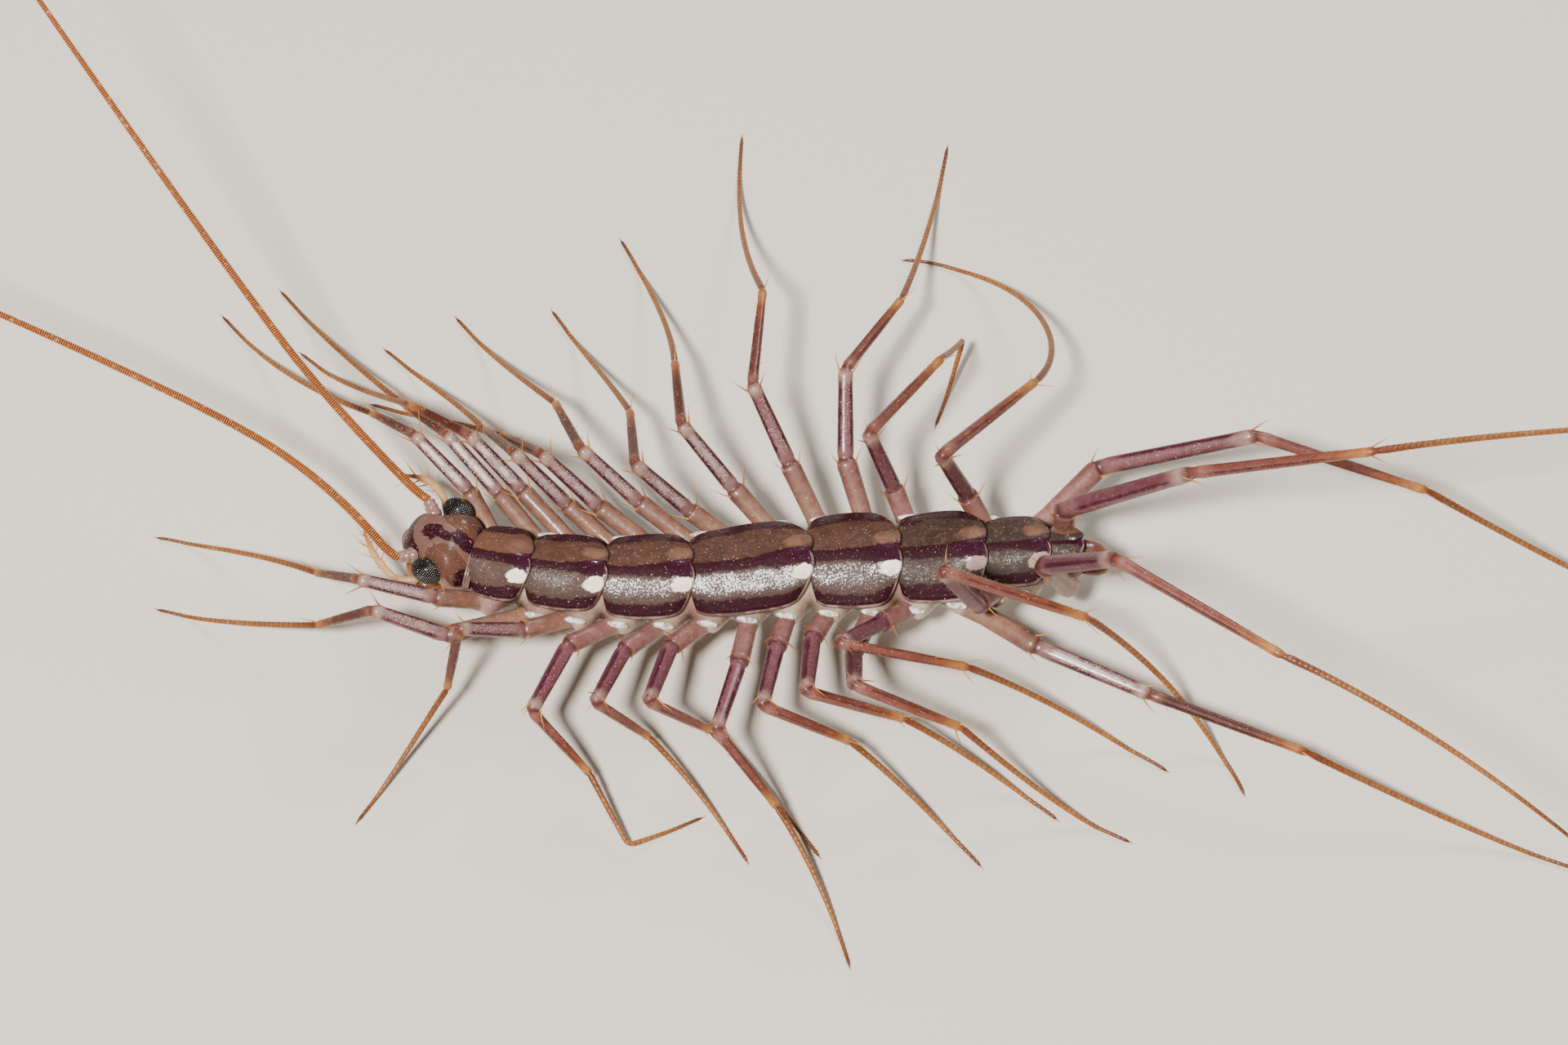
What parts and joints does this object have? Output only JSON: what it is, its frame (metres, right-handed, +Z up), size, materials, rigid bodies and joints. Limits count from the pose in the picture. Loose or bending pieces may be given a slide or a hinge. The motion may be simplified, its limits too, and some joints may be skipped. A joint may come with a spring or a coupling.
{
  "type": "house centipede",
  "caption": "Life-size still model of a house centipede standing on long jointed legs, with raised feelers, banded plates and trailing rear legs.",
  "frame": {"origin": "centre of the bounding box at floor level, under the rear part of the trunk's right side", "axes": "-X is the way the head points, +Y the animal's right side, +Z up from the floor on which the feet stand"},
  "size_m": [0.0901, 0.0449, 0.0184],
  "materials": {
    "trunk_shell": "grey-brown plates with dark purple stripes and a soft sheen",
    "head_shell": "brown-pink shell with dark purple patches and a wet gloss",
    "eye": "black facets with a bright gloss",
    "antenna": "orange-brown, finely ringed",
    "palp": "pale cream, slightly see-through, orange at the tips",
    "claw": "polished orange-brown with dark tips",
    "leg": "lilac and dark purple bands, pale knees, orange ankles and feet, soft sheen"
  },
  "bodies": {
    "root": {"antenna_left_base": "antenna", "antenna_left_whip": "antenna", "antenna_right_base": "antenna", "antenna_right_whip": "antenna", "eye_left": "eye", "eye_right": "eye", "forcipule_left": "claw", "forcipule_right": "claw", "head": "head_shell", "leg_left_01": "leg", "leg_left_02": "leg", "leg_left_03": "leg", "leg_left_04": "leg", "leg_left_05": "leg", "leg_left_06": "leg", "leg_left_07": "leg", "leg_left_08": "leg", "leg_left_09": "leg", "leg_left_10": "leg", "leg_left_11": "leg", "leg_left_12": "leg", "leg_left_13": "leg", "leg_left_15": "leg", "leg_right_01": "leg", "leg_right_02": "leg", "leg_right_03": "leg", "leg_right_04": "leg", "leg_right_05": "leg", "leg_right_06": "leg", "leg_right_07": "leg", "leg_right_08": "leg", "leg_right_09": "leg", "leg_right_10": "leg", "leg_right_11": "leg", "leg_right_13": "leg", "leg_right_14": "leg", "leg_right_15": "leg", "palp_left": "palp", "palp_right": "palp", "tail": "trunk_shell", "tarsus_left_04": "leg", "tarsus_left_07": "leg", "tarsus_left_10": "leg", "tarsus_left_11": "leg", "tarsus_left_13": "leg", "tarsus_left_15": "leg", "tarsus_right_09": "leg", "tarsus_right_10": "leg", "tarsus_right_11": "leg", "tarsus_right_13": "leg", "tarsus_right_14": "leg", "tarsus_right_15": "leg", "trunk_1": "trunk_shell", "trunk_2": "trunk_shell", "trunk_3": "trunk_shell", "trunk_4": "trunk_shell", "trunk_5": "trunk_shell", "trunk_6": "trunk_shell", "trunk_7": "trunk_shell", "trunk_8": "trunk_shell"}
  },
  "joints": []
}
